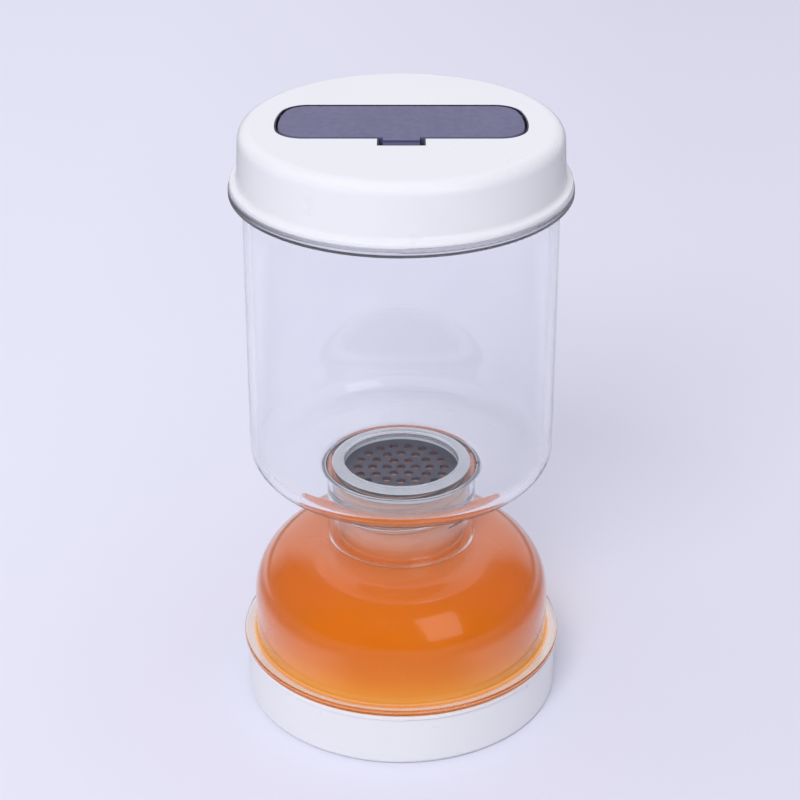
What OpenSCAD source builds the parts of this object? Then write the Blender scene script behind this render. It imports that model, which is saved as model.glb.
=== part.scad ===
// Two-chamber pickle jar that is turned over to drain its brine through a strainer.
// Millimetres, +Z up, origin at the middle of the underside, finger tab of the flap towards -Y.

/* [Clear chambers] */
// Outer radius of the flange next to each cap, the jar's widest parts
flange_r = 52; // [46:0.5:60]
// Thickness of each flange
flange_t = 2.2; // [1.6:0.1:4]
// How far each flange stands out from the wall of its chamber
flange_w = 4; // [3:0.1:6]
// Wall thickness of both clear chambers
wall_t = 2.5; // [1.8:0.1:3.2]
// Height of the jar from its floor to the flange
jar_h = 94.2; // [60:0.2:160]
// Outer radius of the rounded jar floor edge
jar_corner_r = 10; // [6:0.5:16]
// Height of the chamber above its flange
dome_h = 34.9; // [30:0.1:60]
// Radius of the chamber's rounded shoulder
dome_r = 22; // [14:0.5:23]

/* [Neck] */
// Outer radius of the jar's collar
collar_r = 23.8; // [21:0.1:26]
// Wall thickness of the collar
collar_t = 1.6; // [1.2:0.1:2]
// Height of the collar
collar_h = 24.7; // [18:0.1:36]
// Radial room for the thread between the neck and the collar
neck_room = 1.6; // [1.3:0.1:2]
// Wall thickness of the chamber's neck
neck_t = 2.2; // [1.6:0.1:2.4]
// Fillet between the collar and the jar's floor
collar_fillet = 2.5; // [1:0.1:5]

/* [Screw mouths and caps] */
// Wall thickness of the base cap
base_wall_t = 2.6; // [1.8:0.1:3.4]
// Wall thickness of the lid just above its lip
lid_wall_t = 2.3; // [1.8:0.1:3]
// Radial room for the threads between a mouth and its cap
thread_room = 1.5; // [1.2:0.1:1.8]
// How far the base cap's wall lies inside the flange
base_wall_set = 1; // [0.6:0.1:2]
// How far the lid's wall lies inside the flange
lid_wall_set = 2.6; // [2:0.1:3.4]
// How far the lips of both caps lie inside the flange
lip_set = 0.5; // [0:0.1:0.8]
// Height of the lid
lid_h = 18.3; // [17:0.1:26]
// How much the lid wall leans in over its height
lid_draft = 0.6; // [0:0.1:1]
// Radius of the lid's round top edge
lid_edge_r = 4; // [3:0.5:7]
// Height of the base cap
base_h = 18.6; // [14:0.1:26]
// Radius of the base cap's bottom edge
base_edge_r = 1.4; // [0.6:0.1:2]
// Height of the lip on both caps
lip_h = 1.8; // [1.4:0.1:3]
// Radius of the lip's rounded edges
lip_edge_r = 0.6; // [0.3:0.1:0.7]
// Fillet between the lid wall and its lip
lid_flare_r = 1.4; // [0.8:0.1:2]
// Thickness of the lid's top and of the base cap's floor
cap_top_t = 2.6; // [2.2:0.1:4]

/* [Seals and strainer] */
// Thickness of the two cap seals
seal_t = 2; // [1.5:0.1:3]
// How far a cap seal overlaps its mouth on each side
seal_overlap = 0.5; // [0.2:0.1:0.7]
// Depth of the groove that holds a cap seal
groove_depth = 0.8; // [0.4:0.1:1.2]
// Total thickness of the ring round the strainer
ring_t = 3; // [2.4:0.1:4]
// How far the strainer's edge goes into the ring
ring_bite = 1.7; // [1:0.1:2]
// Thickness of the strainer disc
disc_t = 1.2; // [0.8:0.1:1.6]
// Radius of one strainer hole
hole_r = 1.5; // [0.8:0.1:1.7]
// Distance between the rings of strainer holes
hole_pitch = 4.6; // [4.2:0.1:5.4]
// Least plain edge between the outer holes and the ring
hole_edge = 0.8; // [0.4:0.1:2]

/* [Flap and tray] */
// Distance of the flap's round ends from the jar's mouth
flap_inset = 6.5; // [5:0.1:12]
// Distance of the flap's front edge from the lid's middle
flap_front = 11.4; // [8:0.1:12]
// Distance of the flap's rear edge from the lid's middle
flap_rear = 15.4; // [12:0.1:16]
// Corner radius of the flap
flap_corner_r = 7.5; // [2:0.1:9]
// Bevel along the flap's top edge
flap_bevel = 0.3; // [0.1:0.1:0.8]
// Width of the finger tab
tab_w = 10.8; // [8:0.1:16]
// Length of the finger tab in front of the flap
tab_l = 3.6; // [3:0.1:5]
// How far the bead stands out in front of the tab's top
tab_step = 1.2; // [0.8:0.1:1.6]
// How far the bead's top lies under the flap's top
tab_drop = 0.7; // [0.2:0.1:0.9]
// Radius of the bead at the tab's front
bead_r = 1.3; // [1.1:0.1:1.7]
// Room for a fingertip in front of the tab
finger_gap = 2; // [1.6:0.1:4]
// Room beside the tab, over the gap round the flap
tab_room = 0.6; // [0.3:0.1:1.5]
// Depth of the bay under the flap
bay_depth = 3; // [2:0.1:4]
// Inner depth of the tray under the flap
tray_depth = 7.6; // [6.6:0.1:9]
// Floor thickness of the tray
tray_floor_t = 1.4; // [1:0.1:2]
// Wall thickness of the tray under the lid's top
tray_wall_t = 0.9; // [0.7:0.1:1.4]
// Thickness of the tray's lining of the slot round the flap
lining_t = 0.3; // [0.3:0.05:0.6]
// Width of the seat that the flap rests on
seat_w = 1.1; // [0.8:0.1:1.5]
// How far the seat reaches up into the slot
seat_rise = 0.3; // [0.1:0.05:0.4]
// Width of the flange that holds the tray under the lid's top
rim_w = 1.2; // [0.8:0.1:1.6]
// Thickness of that flange
rim_t = 1.2; // [0.8:0.1:2]
// Distance of the hinge axis from the flap's rear edge
hinge_inset = 6.6; // [5:0.1:8]
// Depth of the hinge axis under the flap's top
hinge_drop = 1.2; // [1:0.05:1.3]
// Radius of the two pivots of the flap
pivot_r = 0.6; // [0.4:0.05:0.7]
// How far a pivot goes out of the flap's recess into the lid
pivot_bite = 1.4; // [1:0.1:1.8]
// Length of a pivot inside the flap
pivot_root = 4; // [2:0.5:8]

/* [Clearances] */
// Gap between a cap's lip and the flange
lip_gap = 0.3; // [0.2:0.05:0.6]
// Gap between the collar's lower edge and the chamber's shoulder
collar_gap = 0.3; // [0.2:0.05:0.6]
// Radial gap round the strainer ring in the collar
ring_gap = 0.4; // [0.3:0.05:0.6]
// Gap beside a cap seal in its groove
groove_gap = 0.15; // [0.1:0.05:0.2]
// Gap round the flap in its tray
flap_gap = 0.6; // [0.5:0.05:0.8]
// Gap under the flap where it rests on the tray
flap_seat_gap = 0.1; // [0.05:0.05:0.3]
// How far the flap and its lining lie under the lid's top
flap_sink = 0; // [0:0.05:0.4]
// Gap between the tray and the lid's slot
tray_gap = 0.15; // [0.1:0.05:0.3]
// Room for the rear of the flap when it swings down
swing_gap = 0.8; // [0.7:0.1:1.2]
// Radial running clearance of the pivots
pivot_run = 0.06; // [0.02:0.01:0.1]

/* [Hidden] */
$fn = 96;
// Overrun of every cutting solid
cut = 1;

// Heights from the table upwards
chamber_flange_z = base_h + lip_gap;
dome_base_z = chamber_flange_z + flange_t;
dome_top_z = dome_base_z + dome_h;
collar_z = dome_top_z + collar_gap;
jar_floor_z = collar_z + collar_h;
jar_flange_z = jar_floor_z + jar_h;
lid_z = jar_flange_z + flange_t + lip_gap;
lid_top_z = lid_z + lid_h;
lid_plate_z = lid_top_z - cap_top_t;
jar_rim_z = lid_plate_z + groove_depth - seal_t;
chamber_rim_z = cap_top_t - groove_depth + seal_t;
neck_rim_z = jar_floor_z - ring_t;
disc_z = neck_rim_z + (ring_t - disc_t) / 2;

// Radii about the jar's axis
wall_r = flange_r - flange_w;
inner_r = wall_r - wall_t;
lip_r = flange_r - lip_set;
lid_wall_r = flange_r - lid_wall_set;
lid_bore_r = lid_wall_r - lid_wall_t;
jar_mouth_r = lid_bore_r - thread_room;
jar_mouth_bore_r = jar_mouth_r - wall_t;
base_wall_r = flange_r - base_wall_set;
base_bore_r = base_wall_r - base_wall_t;
base_mouth_r = base_bore_r - thread_room;
base_mouth_bore_r = base_mouth_r - wall_t;
flap_end_r = jar_mouth_bore_r - flap_inset;
collar_bore_r = collar_r - collar_t;
neck_r = collar_bore_r - neck_room;
neck_bore_r = neck_r - neck_t;
ring_outer_r = collar_bore_r - ring_gap;
disc_r = neck_bore_r + ring_bite;

// Outlines of flap, tray and slot, as growth outwards from the flap's own edge
recess_grow = flap_gap;
cavity_grow = recess_grow - seat_w;
lining_grow = recess_grow + lining_t;
slot_grow = lining_grow + tray_gap;
tray_grow = recess_grow + tray_wall_t;
rim_grow = tray_grow + rim_w;

// Heights in the lid
seat_z = lid_plate_z + seat_rise;
flap_under_z = seat_z + flap_seat_gap;
flap_top_z = lid_top_z - flap_sink;
flap_t = flap_top_z - flap_under_z;
tray_floor_z = seat_z - tray_depth;
tray_under_z = tray_floor_z - tray_floor_t;
bay_floor_z = flap_under_z - bay_depth;
bay_under_z = bay_floor_z - tray_floor_t;
bay_front = flap_front + tab_l + finger_gap;

// Hinge axis inside the flap's thickness, in front of its rear edge
hinge_y = flap_rear - hinge_inset;
hinge_z = flap_top_z - hinge_drop;
flap_end_x = sqrt(pow(flap_end_r, 2) - pow(hinge_y, 2));
pivot_end_x = sqrt(pow(flap_end_r + recess_grow, 2) - pow(hinge_y, 2)) + pivot_bite;

// Ring of rectangular section
module ring(r_in, r_out, z, h) {
  rotate_extrude()
    translate([r_in, z])
      square([r_out - r_in, h]);
}

// What rounding takes off an outer corner at (x, y); sx and sy point to the inside
module corner_cut(x, y, r, sx, sy) {
  difference() {
    translate([sx > 0 ? x - cut : x - r, sy > 0 ? y - cut : y - r])
      square(r + cut);
    translate([x + sx * r, y + sy * r])
      circle(r);
  }
}

// Fillet that fills an inner corner at (x, y); sx and sy point to the open side
module corner_fill(x, y, r, sx, sy) {
  difference() {
    translate([sx > 0 ? x : x - r, sy > 0 ? y : y - r])
      square(r);
    translate([x + sx * r, y + sy * r])
      circle(r);
  }
}

// Half section from the axis out to a rim with two rounded outer corners
module disc_section(r, z, h, edge_r) {
  difference() {
    translate([0, z])
      square([r, h]);
    corner_cut(r, z, edge_r, -1, 1);
    corner_cut(r, z + h, edge_r, -1, -1);
  }
}

// Half section of a cap's inside: the bore over its mouth and the groove for its seal
module cap_inside(bore_r, mouth_r, mouth_bore_r) {
  groove_in = mouth_bore_r - seal_overlap - groove_gap;
  groove_out = mouth_r + seal_overlap + groove_gap;
  translate([0, cap_top_t])
    square([bore_r, lid_h + base_h]);
  translate([groove_in, cap_top_t - groove_depth])
    square([groove_out - groove_in, lid_h + base_h]);
}

module base_cap() {
  color("white")
    rotate_extrude()
      difference() {
        union() {
          difference() {
            square([base_wall_r, base_h]);
            corner_cut(base_wall_r, 0, base_edge_r, -1, 1);
          }
          disc_section(lip_r, base_h - lip_h, lip_h, lip_edge_r);
        }
        cap_inside(base_bore_r, base_mouth_r, base_mouth_bore_r);
      }
}

module base_seal() {
  color("gainsboro")
    ring(base_mouth_bore_r - seal_overlap, base_mouth_r + seal_overlap,
         cap_top_t - groove_depth, seal_t);
}

// Dome with a wide mouth downwards and a neck upwards
module lower_chamber() {
  ceiling_z = dome_top_z - wall_t;
  color([0.93, 0.6, 0.3, 0.6])
    rotate_extrude()
      difference() {
        union() {
          difference() {
            translate([0, chamber_flange_z])
              square([wall_r, dome_top_z - chamber_flange_z]);
            corner_cut(wall_r, dome_top_z, dome_r, -1, -1);
          }
          disc_section(flange_r, chamber_flange_z, flange_t, lip_edge_r);
          translate([0, chamber_rim_z])
            square([base_mouth_r, dome_base_z - chamber_rim_z]);
          translate([0, ceiling_z])
            square([neck_r, neck_rim_z - ceiling_z]);
        }
        difference() {
          translate([0, dome_base_z])
            square([inner_r, ceiling_z - dome_base_z]);
          corner_cut(inner_r, ceiling_z, dome_r - wall_t, -1, -1);
        }
        translate([0, chamber_rim_z - cut])
          square([base_mouth_bore_r, dome_base_z - chamber_rim_z + 2 * cut]);
        translate([0, ceiling_z - cut])
          square([neck_bore_r, neck_rim_z - ceiling_z + 2 * cut]);
      }
}

// Ring of U section that wraps the strainer's edge
module neck_seal() {
  color("gainsboro")
    difference() {
      ring(neck_bore_r, ring_outer_r, neck_rim_z, ring_t);
      translate([0, 0, disc_z])
        cylinder(r = disc_r, h = disc_t);
    }
}

// Disc with rings of holes, six more in each ring
module strainer() {
  hole_rings = floor((neck_bore_r - hole_r - hole_edge) / hole_pitch);
  color([0.25, 0.25, 0.32])
    difference() {
      translate([0, 0, disc_z])
        cylinder(r = disc_r, h = disc_t);
      translate([0, 0, disc_z - cut])
        cylinder(r = hole_r, h = disc_t + 2 * cut);
      for (k = [1:hole_rings])
        for (i = [0:6 * k - 1])
          rotate(i * 60 / k)
            translate([k * hole_pitch, 0, disc_z - cut])
              cylinder(r = hole_r, h = disc_t + 2 * cut);
    }
}

// Jar with a wide mouth upwards and a collar under its floor
module upper_jar() {
  floor_top_z = jar_floor_z + wall_t;
  inside_corner_r = jar_corner_r - wall_t;
  step = inner_r - jar_mouth_bore_r;
  color([0.85, 0.88, 0.92, 0.4])
    rotate_extrude()
      difference() {
        union() {
          difference() {
            translate([0, jar_floor_z])
              square([wall_r, jar_h + flange_t / 2]);
            corner_cut(wall_r, jar_floor_z, jar_corner_r, -1, 1);
          }
          disc_section(flange_r, jar_flange_z, flange_t, lip_edge_r);
          translate([0, jar_flange_z])
            square([jar_mouth_r, jar_rim_z - jar_flange_z]);
          translate([0, collar_z])
            square([collar_r, collar_h + wall_t]);
          corner_fill(collar_r, jar_floor_z, collar_fillet, 1, -1);
        }
        difference() {
          translate([0, floor_top_z])
            square([inner_r, jar_flange_z - floor_top_z]);
          corner_cut(inner_r, floor_top_z, inside_corner_r, -1, 1);
        }
        translate([0, jar_flange_z])
          polygon([[0, 0], [inner_r, 0], [jar_mouth_bore_r, step], [0, step]]);
        translate([0, jar_flange_z])
          square([jar_mouth_bore_r, jar_rim_z - jar_flange_z + cut]);
        translate([0, collar_z - cut])
          square([collar_bore_r, collar_h + cut]);
        translate([0, jar_floor_z - cut])
          square([neck_bore_r, wall_t + 2 * cut]);
      }
}

module lid_seal() {
  color("gainsboro")
    ring(jar_mouth_bore_r - seal_overlap, jar_mouth_r + seal_overlap, jar_rim_z, seal_t);
}

// Band across a circle with rounded corners: the flap's outline grown by a given amount
module slot_outline(grow) {
  difference() {
    intersection() {
      circle(flap_end_r + grow);
      translate([-flap_end_r - grow, -flap_front - grow])
        square([2 * (flap_end_r + grow), flap_front + flap_rear + 2 * grow]);
    }
    for (side = [-1, 1]) {
      slot_corner(side, 1, flap_rear, grow);
      slot_corner(side, -1, flap_front, grow);
    }
  }
}

// What a rounded corner takes off the outline: its arc touches the straight edge and the round end
module slot_corner(side, way, edge, grow) {
  centre_y = edge - flap_corner_r;
  centre_x = sqrt(pow(flap_end_r - flap_corner_r, 2) - pow(centre_y, 2));
  reach = (flap_end_r + grow + cut) / (flap_end_r - flap_corner_r);
  scale([side, way])
    difference() {
      polygon([
        [centre_x, centre_y],
        [centre_x, edge + grow + cut],
        [centre_x * reach + cut, edge + grow + cut],
        [centre_x * reach, centre_y * reach]
      ]);
      translate([centre_x, centre_y])
        circle(flap_corner_r + grow);
    }
}

// Outline of the bay in front of the flap, where the tab lies
module bay_outline(grow) {
  half_w = tab_w / 2 + tab_room + grow;
  translate([-half_w, -bay_front - grow])
    square([2 * half_w, bay_front]);
}

module recess_outline(grow) {
  slot_outline(grow);
  bay_outline(grow);
}

// Straight walls between two heights over an outline
module stand(from_z, to_z) {
  translate([0, 0, from_z])
    linear_extrude(to_z - from_z)
      children();
}

// Half section of the lid's outside: a leaning wall that runs smoothly into the round top edge
module lid_outside() {
  wall_z = lid_z + lip_h;
  edge_z = lid_top_z - lid_edge_r;
  lean = atan(lid_draft / (edge_z - wall_z));
  edge_x = lid_wall_r - lid_draft - lid_edge_r / cos(lean);
  polygon([
    [0, wall_z],
    [lid_wall_r, wall_z],
    [edge_x + lid_edge_r * cos(lean), edge_z + lid_edge_r * sin(lean)],
    [edge_x, lid_top_z],
    [0, lid_top_z]
  ]);
  translate([edge_x, edge_z])
    circle(lid_edge_r);
  disc_section(lip_r, lid_z, lip_h, lip_edge_r);
  corner_fill(lid_wall_r - lid_flare_r * sin(lean), wall_z, lid_flare_r, 1, 1);
}

// Cylinder along the hinge axis between two distances from the lid's middle
module hinge_rod(r, from_x, to_x) {
  translate([from_x, hinge_y, hinge_z])
    rotate([0, 90, 0])
      cylinder(r = r, h = to_x - from_x);
}

// Room for both pivots of the flap
module pivot_bore() {
  hinge_rod(pivot_r + pivot_run, -pivot_end_x - pivot_run, pivot_end_x + pivot_run);
}

module lid_shell() {
  color("white")
    difference() {
      rotate_extrude()
        difference() {
          lid_outside();
          translate([0, lid_top_z])
            mirror([0, 1])
              cap_inside(lid_bore_r, jar_mouth_r, jar_mouth_bore_r);
        }
      stand(lid_plate_z - cut, lid_top_z + cut)
        recess_outline(slot_grow);
      pivot_bore();
    }
}

// Insert hung under the lid's top: it lines the slot and has a seat at the front and the ends of the flap,
// a well for the flap's rear and a bay under its tab
module flap_tray() {
  well_y = hinge_y - flap_t + hinge_drop - swing_gap;
  color([0.2, 0.2, 0.26])
    difference() {
      union() {
        stand(lid_plate_z - rim_t, lid_plate_z)
          recess_outline(rim_grow);
        stand(tray_under_z, lid_plate_z)
          slot_outline(tray_grow);
        stand(bay_under_z, lid_plate_z)
          bay_outline(tray_grow);
        stand(lid_plate_z - rim_t, flap_top_z)
          recess_outline(lining_grow);
      }
      stand(seat_z, flap_top_z + cut)
        slot_outline(recess_grow);
      stand(tray_floor_z, flap_top_z + cut)
        slot_outline(cavity_grow);
      stand(tray_floor_z, flap_top_z + cut)
        intersection() {
          slot_outline(recess_grow);
          translate([-flap_end_r - cut, well_y])
            square([2 * (flap_end_r + cut), flap_rear]);
        }
      stand(bay_floor_z, flap_top_z + cut)
        bay_outline(recess_grow);
      pivot_bore();
    }
}

// Finger tab: it carries on the flap's top and ends in a bead turned down at its front
module flap_tab() {
  bead_y = bead_r - flap_front - tab_l;
  bead_z = flap_top_z - tab_drop - bead_r;
  translate([-tab_w / 2, tab_step - flap_front - tab_l, flap_under_z])
    cube([tab_w, tab_l - tab_step + cut, flap_t]);
  translate([-tab_w / 2, bead_y, bead_z])
    rotate([0, 90, 0])
      cylinder(r = bead_r, h = tab_w);
}

// Cover plate with a bevelled edge, a finger tab and two pivots
module flap() {
  color([0.5, 0.48, 0.6]) {
    hull() {
      stand(flap_under_z, flap_top_z - flap_bevel)
        slot_outline(0);
      stand(flap_under_z, flap_top_z)
        slot_outline(-flap_bevel);
    }
    flap_tab();
    for (side = [-1, 1])
      mirror([side < 0 ? 1 : 0, 0, 0])
        hinge_rod(pivot_r, flap_end_x - pivot_root, pivot_end_x);
  }
}

base_cap();
base_seal();
lower_chamber();
neck_seal();
strainer();
upper_jar();
lid_seal();
lid_shell();
flap_tray();
flap();
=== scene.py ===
"""Looks of the flip-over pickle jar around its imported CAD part. Metres, +Z up, finger tab towards -Y."""

import math

import bmesh
import bpy
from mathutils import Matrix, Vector


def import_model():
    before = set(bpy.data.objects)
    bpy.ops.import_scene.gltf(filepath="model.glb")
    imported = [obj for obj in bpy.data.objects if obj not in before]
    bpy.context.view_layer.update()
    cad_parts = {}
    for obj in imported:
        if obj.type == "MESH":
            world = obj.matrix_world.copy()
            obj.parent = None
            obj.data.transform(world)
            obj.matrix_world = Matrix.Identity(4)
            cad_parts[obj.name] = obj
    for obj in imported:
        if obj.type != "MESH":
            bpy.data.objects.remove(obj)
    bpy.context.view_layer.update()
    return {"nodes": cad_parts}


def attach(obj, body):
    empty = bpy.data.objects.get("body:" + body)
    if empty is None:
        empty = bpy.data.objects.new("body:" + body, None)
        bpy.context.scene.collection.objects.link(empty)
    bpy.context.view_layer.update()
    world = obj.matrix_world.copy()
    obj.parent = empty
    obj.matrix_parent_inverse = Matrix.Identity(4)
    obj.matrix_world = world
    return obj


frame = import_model()
MM = 0.001

# Radii and heights on the CAD part that the threads and the tint follow, in millimetres
JAR_MOUTH_R = 45.6
LID_BORE_R = 47.1
BASE_MOUTH_R = 46.9
BASE_BORE_R = 48.4
NECK_R = 20.6
COLLAR_BORE_R = 22.2
WALL_R = 48.0
DOME_BASE_Z = 21.1
NECK_RIM_Z = 78.0

# Screw threads in millimetres: where the ridges start, their lead, and their section from the wall outwards
JAR_THREAD_Z = 179.6
BASE_THREAD_Z = 6.0
NECK_THREAD_Z = 66.8
THREAD_LEAD = 8.0
THREAD_STARTS = 2
RIDGE_OUT = 0.95
RIDGE_SUNK = 0.06
RIDGE_HALF_ROOT = 1.05
RIDGE_HALF_CREST = 0.4

# Rounding of the section as shares of its reach and of its half root
FLANK_OUT = 0.25
FLANK_HALF = 0.95
SHOULDER_OUT = 0.9

# Turns of the ridges on a mouth and in its cap, how much higher the cap's start, how ends fade, and steps
MOUTH_TURNS = 1.2
CAP_TURNS = 1.0
CAP_LIFT = 0.2
RUN_OUT_SHARE = 1 / 9
END_SIZE = 0.04
STEPS_PER_TURN = 96

# Camera of the photograph: place, tilt downwards and focal length in pixels of the 800 pixel picture
EYE = Vector((-0.0004, -0.6026, 0.4190))
PITCH = math.radians(27.62)
FOCAL_PX = 2153.8
PICTURE_PX = 800
SENSOR_MM = 36

# Studio: half the floor's side, and the colour of both lamps
FLOOR_HALF = 6
LAMP_COLOUR = (0.94, 0.94, 1.0)

# Places of the colour sockets on a Mix node
MIX_ONE = 6
MIX_OTHER = 7
MIX_RESULT = 2


def set_stops(ramp, stops):
    """Gives a colour ramp node its stops, each a place and a colour."""
    marks = ramp.color_ramp.elements
    while len(marks) < len(stops):
        marks.new(0.5)
    for mark, (place, colour) in zip(marks, stops):
        mark.position = place
        mark.color = (*colour, 1)


class Look:
    """A node material round one Principled shader, with its patterns laid out in metres on the rest pose."""

    def __init__(self, name):
        self.mat = bpy.data.materials.new(name)
        self.mat.use_nodes = True
        self.tree = self.mat.node_tree
        self.bsdf = self.tree.nodes["Principled BSDF"]
        self.out = self.tree.nodes["Material Output"]
        self.place = self.add("ShaderNodeTexCoord").outputs["Object"]

    def add(self, kind, **settings):
        node = self.tree.nodes.new(kind)
        for key, value in settings.items():
            setattr(node, key, value)
        return node

    def link(self, output, socket):
        self.tree.links.new(output, socket)

    def set(self, **values):
        """Sets constants on the shader's own sockets, with underscores for the spaces in their names."""
        for key, value in values.items():
            self.bsdf.inputs[key.replace("_", " ")].default_value = value

    def noise(self, scale, detail=3.0, roughness=0.5, stretch=(1, 1, 1)):
        """Noise whose lumps are about one metre over scale wide."""
        where = self.add("ShaderNodeMapping")
        where.inputs["Scale"].default_value = stretch
        self.link(self.place, where.inputs["Vector"])
        noise = self.add("ShaderNodeTexNoise")
        noise.inputs["Scale"].default_value = scale
        noise.inputs["Detail"].default_value = detail
        noise.inputs["Roughness"].default_value = roughness
        self.link(where.outputs["Vector"], noise.inputs["Vector"])
        return noise.outputs["Fac"]

    def axes(self):
        """The place on the part as three numbers."""
        split = self.add("ShaderNodeSeparateXYZ")
        self.link(self.place, split.inputs["Vector"])
        return split.outputs

    def height(self, low, high):
        """0 to 1 between two heights on the part, in millimetres."""
        return self.span(self.axes()["Z"], 0, 1, low * MM, high * MM)

    def distance(self, low, high):
        """0 to 1 between two distances from the part's axis, in millimetres."""
        flat = self.add("ShaderNodeVectorMath", operation="MULTIPLY")
        flat.inputs[1].default_value = (1, 1, 0)
        length = self.add("ShaderNodeVectorMath", operation="LENGTH")
        self.link(self.place, flat.inputs[0])
        self.link(flat.outputs["Vector"], length.inputs[0])
        return self.span(length.outputs["Value"], 0, 1, low * MM, high * MM)

    def span(self, value, low, high, start=0.3, end=0.7):
        """Low to high while the value goes from start to end; most of a noise lies between 0.3 and 0.7."""
        span = self.add("ShaderNodeMapRange")
        span.inputs["From Min"].default_value = start
        span.inputs["From Max"].default_value = end
        span.inputs["To Min"].default_value = low
        span.inputs["To Max"].default_value = high
        self.link(value, span.inputs["Value"])
        return span.outputs["Result"]

    def math(self, operation, *values):
        """A math node over outputs and plain numbers."""
        node = self.add("ShaderNodeMath", operation=operation)
        for value, socket in zip(values, node.inputs):
            if isinstance(value, (int, float)):
                socket.default_value = value
            else:
                self.link(value, socket)
        return node.outputs["Value"]

    def ramp(self, value, *stops):
        ramp = self.add("ShaderNodeValToRGB")
        set_stops(ramp, stops)
        self.link(value, ramp.inputs["Fac"])
        return ramp.outputs["Color"]

    def mottle(self, scale, dark, light, detail=3.0, spread=0.2):
        """Two tones that follow a noise, with a soft change between them."""
        return self.ramp(self.noise(scale, detail), (0.5 - spread, dark), (0.5 + spread, light))

    def blend(self, kind, factor, one, other):
        mix = self.add("ShaderNodeMix", data_type="RGBA", blend_type=kind)
        if isinstance(factor, float):
            mix.inputs["Factor"].default_value = factor
        else:
            self.link(factor, mix.inputs["Factor"])
        self.link(one, mix.inputs[MIX_ONE])
        self.link(other, mix.inputs[MIX_OTHER])
        return mix.outputs[MIX_RESULT]

    def colour(self, output):
        self.link(output, self.bsdf.inputs["Base Color"])

    def rough(self, output):
        self.link(output, self.bsdf.inputs["Roughness"])

    def see_through(self, output):
        self.link(output, self.bsdf.inputs["Transmission Weight"])

    def bump(self, *layers, edge=None):
        """Bump layers of height, strength and depth, on edges rounded by the given radius."""
        normal = None
        if edge:
            bevel = self.add("ShaderNodeBevel", samples=6)
            bevel.inputs["Radius"].default_value = edge
            normal = bevel.outputs["Normal"]
        for height, strength, depth in layers:
            bump = self.add("ShaderNodeBump")
            bump.inputs["Strength"].default_value = strength
            bump.inputs["Distance"].default_value = depth
            self.link(height, bump.inputs["Height"])
            if normal is not None:
                self.link(normal, bump.inputs["Normal"])
            normal = bump.outputs["Normal"]
        self.link(normal, self.bsdf.inputs["Normal"])

    def let_lamps_through(self, tint):
        """Lamps shine straight through the see-through wall, tinted, so that it throws no black shadow."""
        path = self.add("ShaderNodeLightPath")
        clear = self.add("ShaderNodeBsdfTransparent")
        clear.inputs["Color"].default_value = (*tint, 1)
        mix = self.add("ShaderNodeMixShader")
        self.link(path.outputs["Is Shadow Ray"], mix.inputs[0])
        self.link(self.bsdf.outputs["BSDF"], mix.inputs[1])
        self.link(clear.outputs["BSDF"], mix.inputs[2])
        self.link(mix.outputs["Shader"], self.out.inputs["Surface"])


def white_plastic():
    look = Look("white_moulded_plastic")
    look.set(IOR=1.49, Coat_Weight=0.15, Coat_Roughness=0.1)
    look.colour(look.mottle(30, (0.850, 0.850, 0.862), (0.865, 0.865, 0.876), detail=2))
    look.rough(look.span(look.noise(90), 0.27, 0.33))
    look.bump((look.noise(45, detail=2), 0.02, 0.0004), edge=0.0003)
    return look.mat


def wavy_wall(look):
    """Long faint waves of a moulded wall."""
    look.set(IOR=1.5)
    waves = look.noise(22, detail=2, roughness=0.4, stretch=(1, 1, 0.35))
    look.bump((waves, 0.05, 0.001))


def clear_colour(look):
    return look.mottle(45, (0.965, 0.97, 0.985), (0.99, 0.99, 1.0))


def clear_plastic():
    """Clear wall with a duller flange."""
    look = Look("clear_moulded_plastic")
    wavy_wall(look)
    look.set(Transmission_Weight=1.0)
    look.colour(clear_colour(look))
    flange = look.distance(WALL_R + 0.6, WALL_R + 1.4)
    smooth = look.span(look.noise(150, detail=4), 0.0, 0.03)
    look.rough(look.math("MULTIPLY_ADD", flange, 0.28, smooth))
    look.let_lamps_through((0.95, 0.95, 0.96))
    return look.mat


def amber_plastic():
    """Cloudy amber under a glossy skin, densest at the foot, paler in the neck and clear in the flange."""
    look = Look("amber_moulded_plastic")
    wavy_wall(look)
    look.set(Coat_Weight=0.8, Coat_Roughness=0.03)
    height = look.height(DOME_BASE_Z, NECK_RIM_Z)
    amber = look.ramp(
        height,
        (0.0, (0.95, 0.46, 0.07)),
        (0.03, (0.94, 0.37, 0.025)),
        (0.15, (0.90, 0.29, 0.012)),
        (0.55, (0.87, 0.26, 0.006)),
        (0.75, (0.96, 0.58, 0.35)),
    )
    cloud = look.mottle(35, (0.97, 0.94, 0.9), (1.0, 1.0, 1.0))
    amber = look.blend("MULTIPLY", 1.0, amber, cloud)
    flange = look.distance(WALL_R + 0.3, WALL_R + 1.3)
    look.colour(look.blend("MIX", flange, amber, clear_colour(look)))
    look.see_through(look.math("MAXIMUM", flange, look.span(height, 0.2, 0.6, start=0.05, end=0.3)))
    dull = look.span(look.noise(60), 0.16, 0.22)
    look.rough(look.math("MULTIPLY", dull, look.span(flange, 1, 0.25, start=0, end=1)))
    look.let_lamps_through((0.97, 0.9, 0.8))
    return look.mat


def satin_plastic(name, dark, light, smooth, dull):
    look = Look(name)
    look.set(IOR=1.48)
    look.colour(look.mottle(60, dark, light, spread=0.25))
    look.rough(look.span(look.noise(420, detail=4), smooth, dull))
    grain = look.noise(3200, roughness=0.6)
    waves = look.noise(130, detail=2)
    look.bump((grain, 0.12, 0.00008), (waves, 0.03, 0.0003), edge=0.0002)
    return look.mat


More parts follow.
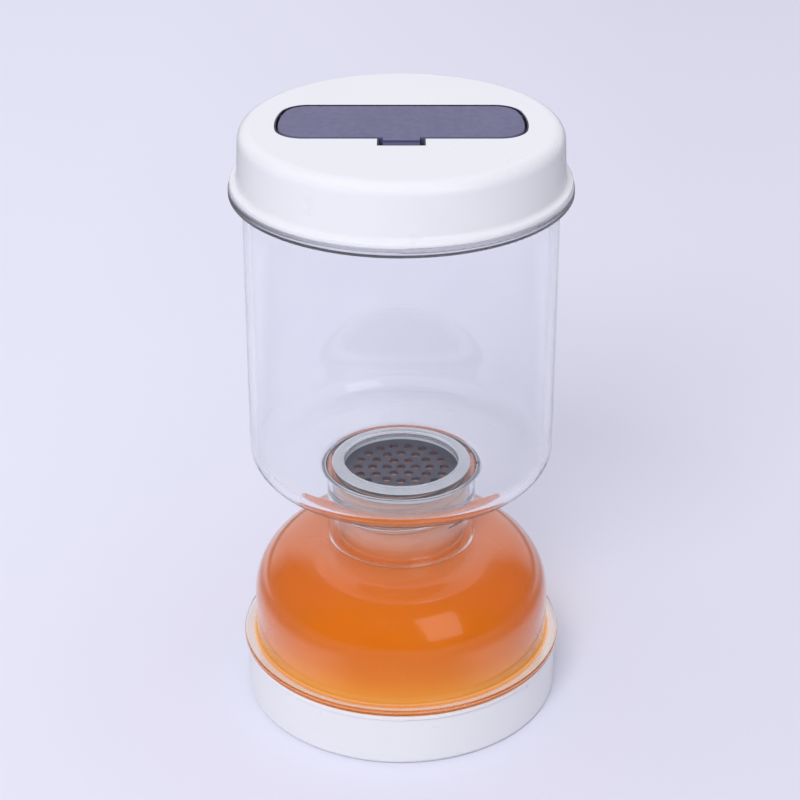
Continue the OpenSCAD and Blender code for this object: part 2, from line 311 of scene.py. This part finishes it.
def silicone():
    look = Look("translucent_silicone")
    look.set(IOR=1.41, Subsurface_Weight=0.4, Subsurface_Scale=0.003, Transmission_Weight=0.15)
    look.colour(look.mottle(110, (0.70, 0.71, 0.73), (0.78, 0.79, 0.80)))
    look.rough(look.span(look.noise(900), 0.42, 0.58))
    look.bump((look.noise(2400, detail=2), 0.1, 0.00006), edge=0.0002)
    return look.mat


WHITE = white_plastic()
CLEAR = clear_plastic()
AMBER = amber_plastic()
SLATE = satin_plastic(
    "slate_satin_plastic", dark=(0.108, 0.103, 0.204), light=(0.124, 0.119, 0.228), smooth=0.34, dull=0.46
)
# Dark plastic of the tray insert round the flap; its near-black colour is also painted shade in the narrow
# gaps round the flap and tab
TRAY = satin_plastic(
    "dark_satin_plastic", dark=(0.030, 0.029, 0.052), light=(0.040, 0.038, 0.066), smooth=0.4, dull=0.55
)
MESH = satin_plastic(
    "strainer_satin_plastic", dark=(0.035, 0.033, 0.050), light=(0.048, 0.045, 0.066), smooth=0.32, dull=0.45
)
SILICONE = silicone()

NODE_LOOKS = {
    "base_cap": WHITE,
    "lid_shell": WHITE,
    "lower_chamber": AMBER,
    "upper_jar": CLEAR,
    "strainer": MESH,
    "flap": SLATE,
    "flap_tray": TRAY,
    "base_seal": SILICONE,
    "neck_seal": SILICONE,
    "lid_seal": SILICONE,
}
for name, look in NODE_LOOKS.items():
    materials = frame["nodes"][name].data.materials
    materials.clear()
    materials.append(look)


def new_object(name, bm, material):
    bmesh.ops.recalc_face_normals(bm, faces=bm.faces)
    mesh = bpy.data.meshes.new(name)
    bm.to_mesh(mesh)
    bm.free()
    for face in mesh.polygons:
        face.use_smooth = True
    mesh.materials.append(material)
    obj = bpy.data.objects.new(name, mesh)
    bpy.context.scene.collection.objects.link(obj)
    return obj


def ridge_section(side, size):
    """Section of a ridge as steps out from the wall and up, from its lower foot to its upper one."""
    reach = side * RIDGE_OUT * size
    half = (
        (-side * RIDGE_SUNK, RIDGE_HALF_ROOT * size),
        (reach * FLANK_OUT, RIDGE_HALF_ROOT * size * FLANK_HALF),
        (reach * SHOULDER_OUT, RIDGE_HALF_CREST * size),
    )
    return [(out, -up) for out, up in half] + [(reach, 0)] + list(reversed(half))


def thread(name, body, slot, material, radius, side, start_z, turns, phase):
    """Right-hand screw ridges on a cylinder, standing out (side 1) or in (side -1). Millimetres."""
    steps = int(STEPS_PER_TURN * turns)
    bm = bmesh.new()
    for start in range(THREAD_STARTS):
        rings = []
        for i in range(steps + 1):
            share = i / steps
            fade = min(1.0, share / RUN_OUT_SHARE, (1 - share) / RUN_OUT_SHARE)
            size = END_SIZE + (1 - END_SIZE) * math.sin(fade * math.pi / 2)
            angle = phase + start * math.tau / THREAD_STARTS + share * turns * math.tau
            z = start_z + share * turns * THREAD_LEAD
            turn = Vector((math.cos(angle), math.sin(angle), 0))
            section = ridge_section(side, size)
            corners = [turn * (radius + out) + Vector((0, 0, z + up)) for out, up in section]
            rings.append([bm.verts.new(corner * MM) for corner in corners])
        for a, b in zip(rings, rings[1:]):
            for j in range(len(a)):
                k = (j + 1) % len(a)
                bm.faces.new((a[j], a[k], b[k], b[j]))
        bm.faces.new(rings[0])
        bm.faces.new(rings[-1])
    obj = new_object(name, bm, material)
    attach(obj, body)


def thread_pair(mouth, cap, mouth_r, bore_r, start_z, phase):
    """Ridges on a mouth and in its cap, where they run about half way between those of the mouth."""
    thread(*mouth, mouth_r, 1, start_z, MOUTH_TURNS, phase)
    thread(*cap, bore_r, -1, start_z + CAP_LIFT, CAP_TURNS, phase + math.pi / THREAD_STARTS)


thread_pair(
    ("jar_mouth_thread", "upper_jar", "clear_plastic", CLEAR),
    ("lid_thread", "lid", "white_plastic", WHITE),
    JAR_MOUTH_R, LID_BORE_R, JAR_THREAD_Z, phase=0.3,
)
thread_pair(
    ("chamber_mouth_thread", "lower_chamber", "amber_plastic", AMBER),
    ("base_thread", "base_cap", "white_plastic", WHITE),
    BASE_MOUTH_R, BASE_BORE_R, BASE_THREAD_Z, phase=1.1,
)
thread_pair(
    ("neck_thread", "lower_chamber", "amber_plastic", AMBER),
    ("collar_thread", "upper_jar", "clear_plastic", CLEAR),
    NECK_R, COLLAR_BORE_R, NECK_THREAD_Z, phase=0.7,
)


def floor():
    """Pale floor with painted shade over its right half. The part mirrors it as dark ahead, far beside and
    far away.
    """
    look = Look("pale_floor")
    look.set(Roughness=0.8, Specular_IOR_Level=0.1)
    axes = look.axes()
    # Painted shade: the right half of the floor is coloured darker than the left, blended across the middle
    left = look.mottle(2.5, (0.820, 0.820, 0.912), (0.834, 0.834, 0.924), detail=2)
    right = look.mottle(2.5, (0.752, 0.750, 0.838), (0.766, 0.764, 0.850), detail=2)
    pale = look.blend("MIX", look.span(axes["X"], 0, 1, start=-0.15, end=0.15), left, right)

    # Where mirrored rays find the floor dark: a wedge ahead, beside the part's near patch, and far away
    ahead = look.math("MULTIPLY_ADD", axes["Y"], 0.75, look.math("ABSOLUTE", axes["X"]))
    in_front = look.span(ahead, 1, 0, start=-0.02, end=0.03)
    not_behind = look.span(axes["Y"], 1, 0, start=0.08, end=0.16)
    beside = look.math("MULTIPLY", look.distance(110, 170), not_behind)
    dark = look.math("MAXIMUM", look.math("MAXIMUM", in_front, beside), look.distance(400, 450))
    path = look.add("ShaderNodeLightPath")
    mirrored = look.math("GREATER_THAN", path.outputs["Is Glossy Ray"], path.outputs["Is Transmission Ray"])
    shade = look.mottle(2.5, (0.28, 0.28, 0.31), (0.32, 0.32, 0.35), detail=2)
    look.colour(look.blend("MIX", look.math("MULTIPLY", mirrored, dark), pale, shade))
    bm = bmesh.new()
    bmesh.ops.create_grid(bm, x_segments=8, y_segments=8, size=FLOOR_HALF)
    new_object("floor", bm, look.mat)


def world():
    """Light from above. The part mirrors it as bright behind only; seen, also through walls, it is even."""
    sky = bpy.data.worlds.new("studio")
    bpy.context.scene.world = sky
    sky.use_nodes = True
    tree = sky.node_tree
    tree.nodes.clear()

    def ramp_along(axis, *stops):
        """Background along one axis of the direction, from 0 at its minus end to 1 at its plus end."""
        span = tree.nodes.new("ShaderNodeMapRange")
        span.inputs["From Min"].default_value = -1
        ramp = tree.nodes.new("ShaderNodeValToRGB")
        set_stops(ramp, stops)
        background = tree.nodes.new("ShaderNodeBackground")
        tree.links.new(split.outputs[axis], span.inputs["Value"])
        tree.links.new(span.outputs["Result"], ramp.inputs["Fac"])
        tree.links.new(ramp.outputs["Color"], background.inputs["Color"])
        return background.outputs["Background"]

    def choose(ray, shown, otherwise):
        mix = tree.nodes.new("ShaderNodeMixShader")
        tree.links.new(path.outputs[ray], mix.inputs[0])
        tree.links.new(otherwise, mix.inputs[1])
        tree.links.new(shown, mix.inputs[2])
        return mix.outputs["Shader"]

    path = tree.nodes.new("ShaderNodeLightPath")
    where = tree.nodes.new("ShaderNodeTexCoord")
    split = tree.nodes.new("ShaderNodeSeparateXYZ")
    tree.links.new(where.outputs["Generated"], split.inputs["Vector"])
    dark = (0.04, 0.04, 0.05)
    dim = (0.20, 0.20, 0.22)
    bright = (0.80, 0.80, 0.88)
    light = ramp_along("Z", (0.5, (0.09, 0.09, 0.098)), (1.0, (0.96, 0.96, 1.04)))
    mirrored = ramp_along("Y", (0.25, dark), (0.5, dim), (0.78, dim), (0.88, bright))
    seen = ramp_along("Y", (0.0, (0.70, 0.70, 0.78)), (1.0, bright))
    shader = choose("Is Glossy Ray", mirrored, light)
    shader = choose("Is Transmission Ray", seen, shader)
    shader = choose("Is Camera Ray", seen, shader)
    out = tree.nodes.new("ShaderNodeOutputWorld")
    tree.links.new(shader, out.inputs["Surface"])


def lamp(name, place, aim, size, power):
    data = bpy.data.lights.new(name, "AREA")
    data.shape = "RECTANGLE"
    data.size, data.size_y = size
    data.energy = power
    data.color = LAMP_COLOUR
    obj = bpy.data.objects.new(name, data)
    obj.location = place
    obj.rotation_euler = (Vector(aim) - Vector(place)).to_track_quat("-Z", "Y").to_euler()
    bpy.context.scene.collection.objects.link(obj)
    return obj


def camera():
    lens = bpy.data.cameras.new("camera")
    lens.lens = FOCAL_PX / PICTURE_PX * SENSOR_MM
    lens.sensor_width = SENSOR_MM
    lens.clip_start = 0.01
    obj = bpy.data.objects.new("camera", lens)
    obj.location = EYE
    obj.rotation_euler = (math.pi / 2 - PITCH, 0, 0)
    bpy.context.scene.collection.objects.link(obj)
    bpy.context.scene.camera = obj


floor()
world()
key = lamp("key", place=(-1.4, -4.15, 4.13), aim=(0, 0, 0.1), size=(2.6, 2.6), power=190)
key.visible_glossy = False
key.visible_transmission = False
softbox = lamp("softbox", place=(0.72, -1.1, 0.85), aim=(0, 0, 0.06), size=(0.75, 1.1), power=2.6)
softbox.visible_diffuse = False
camera()
bpy.context.scene.view_settings.view_transform = "Standard"
